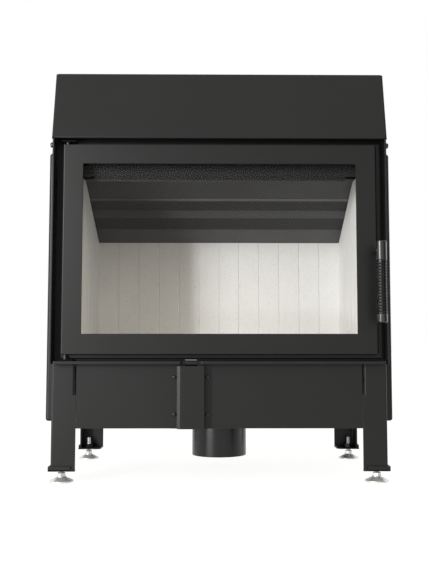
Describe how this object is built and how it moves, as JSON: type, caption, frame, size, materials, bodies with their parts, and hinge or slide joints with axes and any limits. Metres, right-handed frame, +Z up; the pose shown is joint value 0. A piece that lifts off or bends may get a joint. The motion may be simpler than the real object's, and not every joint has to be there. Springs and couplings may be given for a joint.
{
  "type": "fireplace insert",
  "caption": "Steel fireplace insert on short legs: left-hinged glazed door with a vertical handle, leaning hood, ledge with air lever, lined firebox, flue collar and outside-air spigot.",
  "frame": {"origin": "middle of the base, on the floor under the insert", "axes": "+Z up, the door faces -Y, +X is to the right seen from the front"},
  "size_m": [0.73, 0.486, 0.8843],
  "materials": {
    "black_paint": "matt black stove paint",
    "bare_steel": "heat-darkened steel",
    "zinc": "zinc plated",
    "handle_steel": "satin dark steel",
    "grip_black": "matt black perforated sleeve",
    "vermiculite": "cream fireproof board",
    "ceramic_glass": "clear ceramic glass",
    "rope": "black glass-fibre rope"
  },
  "bodies": {
    "firebox_body": {"firebox_side_left": "bare_steel", "firebox_side_right": "bare_steel", "firebox_back": "black_paint", "firebox_roof": "black_paint", "floor_plate": "black_paint", "front_frame": "black_paint", "cheek_left": "black_paint", "cheek_right": "black_paint", "cheek_screw_left": "black_paint", "cheek_screw_right": "black_paint", "hood": "black_paint", "flue_collar": "black_paint", "leg_front_left": "black_paint", "leg_front_right": "black_paint", "leg_rear_left": "black_paint", "leg_rear_right": "black_paint", "foot_tray_front_left": "black_paint", "foot_tray_front_right": "black_paint", "foot_tray_rear_left": "black_paint", "foot_tray_rear_right": "black_paint", "ledge": "black_paint", "apron": "black_paint", "air_linkage_cover": "black_paint", "cover_bolt_lower_left": "black_paint", "cover_bolt_lower_right": "black_paint", "cover_bolt_upper_left": "black_paint", "cover_bolt_upper_right": "black_paint", "air_plenum": "black_paint", "air_spigot": "black_paint", "side_shield_left": "black_paint", "side_shield_right": "black_paint", "rear_shield": "black_paint", "hinge_bracket_bottom": "black_paint", "hinge_bracket_top": "black_paint", "hinge_pin_bottom": "zinc", "hinge_pin_top": "zinc", "latch_keeper": "bare_steel", "lining_back_left": "vermiculite", "lining_back_right": "vermiculite", "lining_side_left": "vermiculite", "lining_side_right": "vermiculite", "lining_floor": "vermiculite", "log_stop": "bare_steel", "baffle": "bare_steel", "airwash_deflector": "bare_steel"},
    "door": {"door_frame": "black_paint", "door_glass": "ceramic_glass", "glass_retainer_top": "bare_steel", "glass_retainer_bottom": "bare_steel", "door_gasket": "rope"},
    "handle": {"handle_arm": "handle_steel", "handle_ferrule": "handle_steel", "handle_grip": "grip_black", "handle_end_cap": "handle_steel", "latch_cam": "bare_steel"},
    "air_control": {"air_lever": "black_paint"},
    "foot_front_left": {"levelling_foot_front_left": "zinc"},
    "foot_front_right": {"levelling_foot_front_right": "zinc"},
    "foot_rear_left": {"levelling_foot_rear_left": "zinc"},
    "foot_rear_right": {"levelling_foot_rear_right": "zinc"}
  },
  "joints": [
    {"name": "door_hinge", "type": "hinge", "parent": "firebox_body", "child": "door", "pos_m": [-0.3185, -0.179, 0.48], "axis": [0, 0, -1], "range_deg": [0, 110]},
    {"name": "handle_turn", "type": "hinge", "parent": "door", "child": "handle", "pos_m": [0.32, -0.187, 0.47], "axis": [0, -1, 0], "range_deg": [0, 75]},
    {"name": "air_slide", "type": "slide", "parent": "firebox_body", "child": "air_control", "axis": [0, -1, 0], "range_m": [0, 0.035]},
    {"name": "level_front_left", "type": "slide", "parent": "firebox_body", "child": "foot_front_left", "axis": [0, 0, -1], "range_m": [0, 0.02]},
    {"name": "level_front_right", "type": "slide", "parent": "firebox_body", "child": "foot_front_right", "axis": [0, 0, -1], "range_m": [0, 0.02]},
    {"name": "level_rear_left", "type": "slide", "parent": "firebox_body", "child": "foot_rear_left", "axis": [0, 0, -1], "range_m": [0, 0.02]},
    {"name": "level_rear_right", "type": "slide", "parent": "firebox_body", "child": "foot_rear_right", "axis": [0, 0, -1], "range_m": [0, 0.02]}
  ]
}
